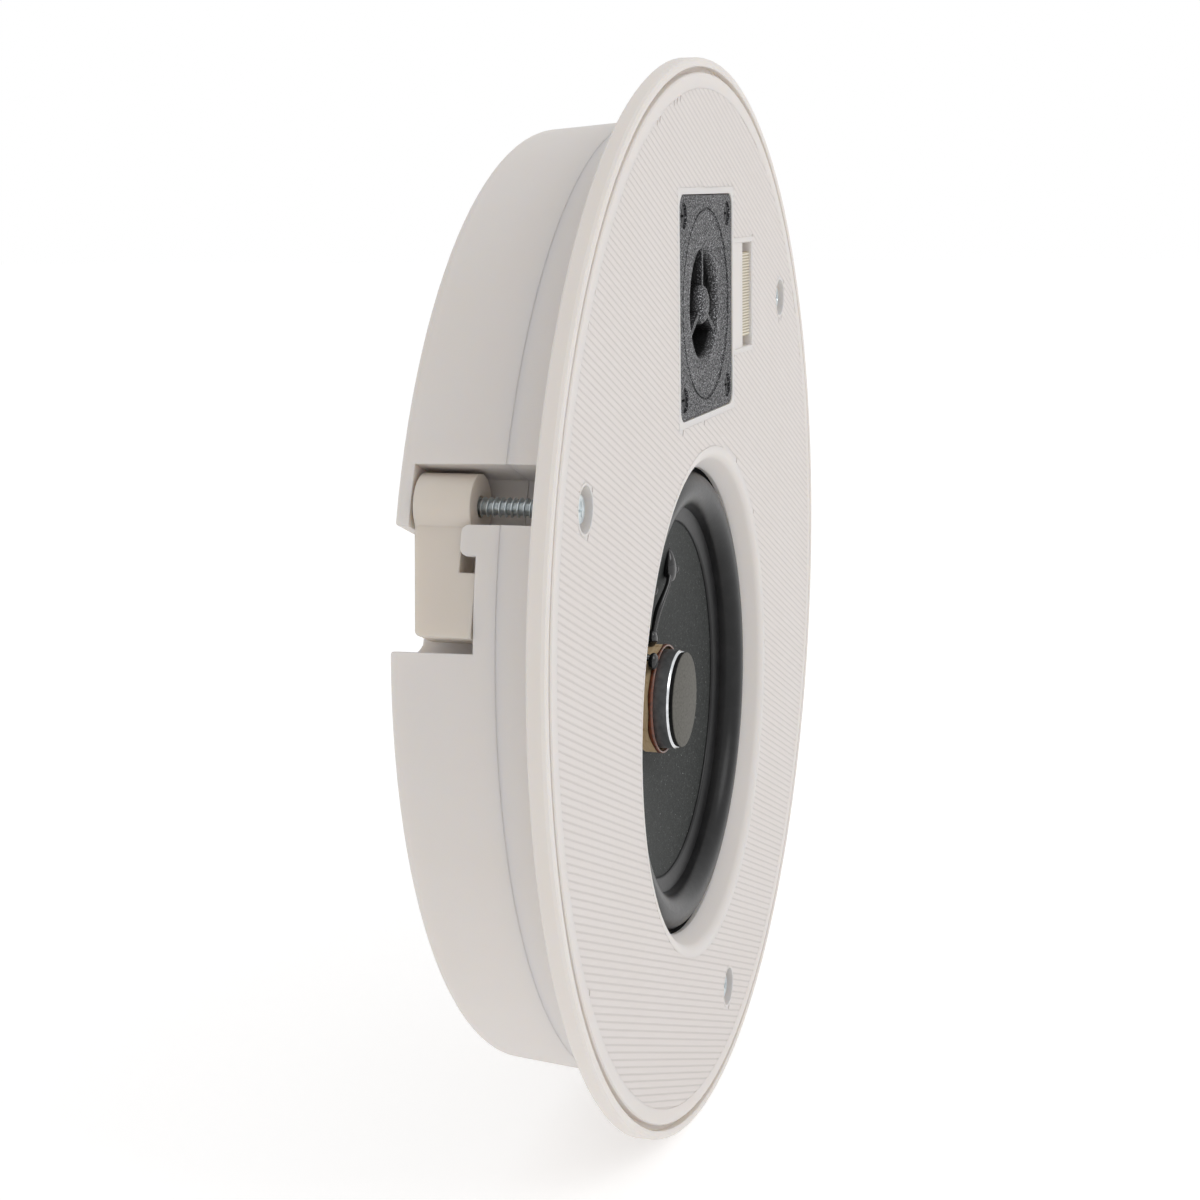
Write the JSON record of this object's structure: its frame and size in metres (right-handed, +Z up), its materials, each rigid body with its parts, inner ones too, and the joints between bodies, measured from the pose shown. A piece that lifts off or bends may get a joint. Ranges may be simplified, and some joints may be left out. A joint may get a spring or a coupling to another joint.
{
  "type": "built-in speaker",
  "caption": "Round two-way flush-mount speaker with a shallow closed housing, swing-out clamps, a woofer and a horn tweeter; no grille fitted.",
  "frame": {"origin": "centre of the panel cut-out, on the speaker's axis, in the plane of the flange's rear face, where it meets the panel", "axes": "+Y along the axis, towards the housing and the space behind the panel, so the front faces -Y; +Z up, towards the tweeter, as the picture shows it"},
  "size_m": [0.25, 0.0375, 0.25],
  "materials": {
    "housing_plastic": "fine matt moulding",
    "black_plastic": "matt moulding",
    "tweeter_plastic": "leather grain moulding",
    "zinc_steel": "bright zinc plate",
    "black_steel": "black passivated",
    "dark_steel": "turned, dark",
    "ferrite": "ground ceramic",
    "surround_rubber": "smooth matt rubber",
    "cone_pulp": "coated paper pulp",
    "kraft": "kraft paper",
    "spider_cloth": "impregnated cloth",
    "copper": "enamelled wire",
    "glue": "glossy set glue",
    "pad_grey": "matt pressed pad",
    "foam": "closed cell foam",
    "wadding": "polyester wadding",
    "board_green": "solder mask",
    "resin_board": "paper laminate",
    "film_dark": "polymer film",
    "cap_blue": "sleeve",
    "cement": "ceramic cement",
    "lever_red": "smooth moulding",
    "lever_black": "smooth moulding",
    "cable_pvc": "soft sheath"
  },
  "bodies": {
    "frame": {"front_baffle": "housing_plastic", "rear_housing": "housing_plastic", "housing_seal": "foam", "housing_screws": "zinc_steel", "woofer_basket": "black_steel", "woofer_gasket": "foam", "woofer_surround": "surround_rubber", "woofer_spider": "spider_cloth", "tinsel_leads": "copper", "woofer_terminals": "resin_board", "top_plate": "zinc_steel", "ferrite_magnet": "ferrite", "yoke": "zinc_steel", "phase_plug": "dark_steel", "plug_pad": "pad_grey", "woofer_screws": "black_steel", "tweeter_faceplate": "tweeter_plastic", "tweeter_screws": "black_steel", "tweeter_suspension": "film_dark", "tweeter_spacer": "black_plastic", "tweeter_plate": "zinc_steel", "tweeter_magnet": "zinc_steel", "tweeter_yoke": "zinc_steel", "level_switch": "black_plastic", "crossover_board": "board_green", "crossover_inductor": "copper", "crossover_capacitor": "cap_blue", "crossover_resistor": "cement", "tweeter_cable": "cable_pvc", "switch_cable": "cable_pvc", "woofer_cable": "cable_pvc", "terminal_block": "black_plastic", "terminal_cable": "cable_pvc", "damping_pad": "wadding"},
    "clamp_1": {"clamp_arm_1": "housing_plastic"},
    "clamp_2": {"clamp_arm_2": "housing_plastic"},
    "clamp_3": {"clamp_arm_3": "housing_plastic"},
    "screw_1": {"clamp_screw_1": "zinc_steel"},
    "screw_2": {"clamp_screw_2": "zinc_steel"},
    "screw_3": {"clamp_screw_3": "zinc_steel"},
    "cone": {"woofer_cone": "cone_pulp", "coil_former": "kraft", "voice_coil": "copper", "coil_leads": "glue"},
    "dome": {"tweeter_dome": "film_dark", "tweeter_coil": "copper"},
    "slider": {"level_slider": "housing_plastic"},
    "lever_red": {"terminal_lever_red": "lever_red"},
    "lever_black": {"terminal_lever_black": "lever_black"}
  },
  "joints": [
    {"name": "clamp_1_swing", "type": "hinge", "parent": "frame", "child": "clamp_1", "pos_m": [-0.0982, 0.0232, 0.03574], "axis": [0, 1, 0], "range_deg": [0, 90]},
    {"name": "clamp_2_swing", "type": "hinge", "parent": "frame", "child": "clamp_2", "pos_m": [0.08005, 0.0232, 0.06717], "axis": [0, 1, 0], "range_deg": [0, 90]},
    {"name": "clamp_3_swing", "type": "hinge", "parent": "frame", "child": "clamp_3", "pos_m": [0.01815, 0.0232, -0.10291], "axis": [0, 1, 0], "range_deg": [0, 90]},
    {"name": "screw_1_turn", "type": "hinge", "parent": "frame", "child": "screw_1", "pos_m": [-0.0982, 0, 0.03574], "axis": [0, 1, 0], "continuous": true},
    {"name": "screw_2_turn", "type": "hinge", "parent": "frame", "child": "screw_2", "pos_m": [0.08005, 0, 0.06717], "axis": [0, 1, 0], "continuous": true},
    {"name": "screw_3_turn", "type": "hinge", "parent": "frame", "child": "screw_3", "pos_m": [0.01815, 0, -0.10291], "axis": [0, 1, 0], "continuous": true},
    {"name": "cone_travel", "type": "slide", "parent": "frame", "child": "cone", "axis": [0, -1, 0], "range_m": [-0.002, 0.002], "stiffness_N_per_m": 900, "deforming": ["woofer_surround", "woofer_spider", "tinsel_leads"]},
    {"name": "dome_travel", "type": "slide", "parent": "frame", "child": "dome", "axis": [0, -1, 0], "range_m": [-0.0002, 0.0002], "stiffness_N_per_m": 400, "deforming": ["tweeter_suspension"]},
    {"name": "level_slide", "type": "slide", "parent": "frame", "child": "slider", "axis": [0, 0, 1], "range_m": [-0.0022, 0.0022]},
    {"name": "lever_red_press", "type": "hinge", "parent": "frame", "child": "lever_red", "pos_m": [-0.0425, 0.0273, 0.0324], "axis": [1, 0, 0], "range_deg": [0, 12], "stiffness_Nm_per_rad": 0.05, "springref_deg": -11.46},
    {"name": "lever_black_press", "type": "hinge", "parent": "frame", "child": "lever_black", "pos_m": [-0.0575, 0.0273, 0.0324], "axis": [1, 0, 0], "range_deg": [0, 12], "stiffness_Nm_per_rad": 0.05, "springref_deg": -11.46}
  ]
}
